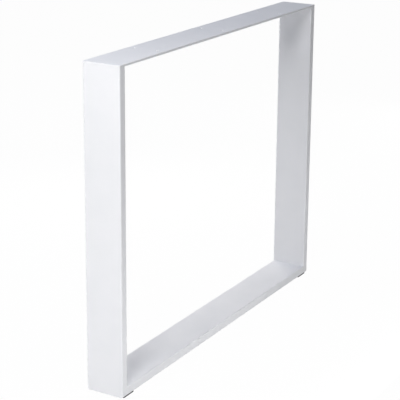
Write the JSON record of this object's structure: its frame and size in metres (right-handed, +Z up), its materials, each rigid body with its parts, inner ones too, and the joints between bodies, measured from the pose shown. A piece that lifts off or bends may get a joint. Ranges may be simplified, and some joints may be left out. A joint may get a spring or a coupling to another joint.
{
  "type": "table leg frame",
  "caption": "Closed rectangular steel leg frame for one end of a table, with a drilled plate across the top and glides under its bottom rail.",
  "frame": {"origin": "on the floor, under the middle of the frame", "axes": "+X along the width, from the left post to the right post; +Y through the window, from front to back; +Z up"},
  "size_m": [0.88, 0.09, 0.72],
  "materials": {
    "powder_coat": "white semi-gloss powder coat on steel",
    "black_plastic": "matt black moulded plastic"
  },
  "bodies": {
    "root": {"left_post": "powder_coat", "right_post": "powder_coat", "bottom_rail": "powder_coat", "top_plate": "powder_coat", "left_glide": "black_plastic", "right_glide": "black_plastic"}
  },
  "joints": []
}
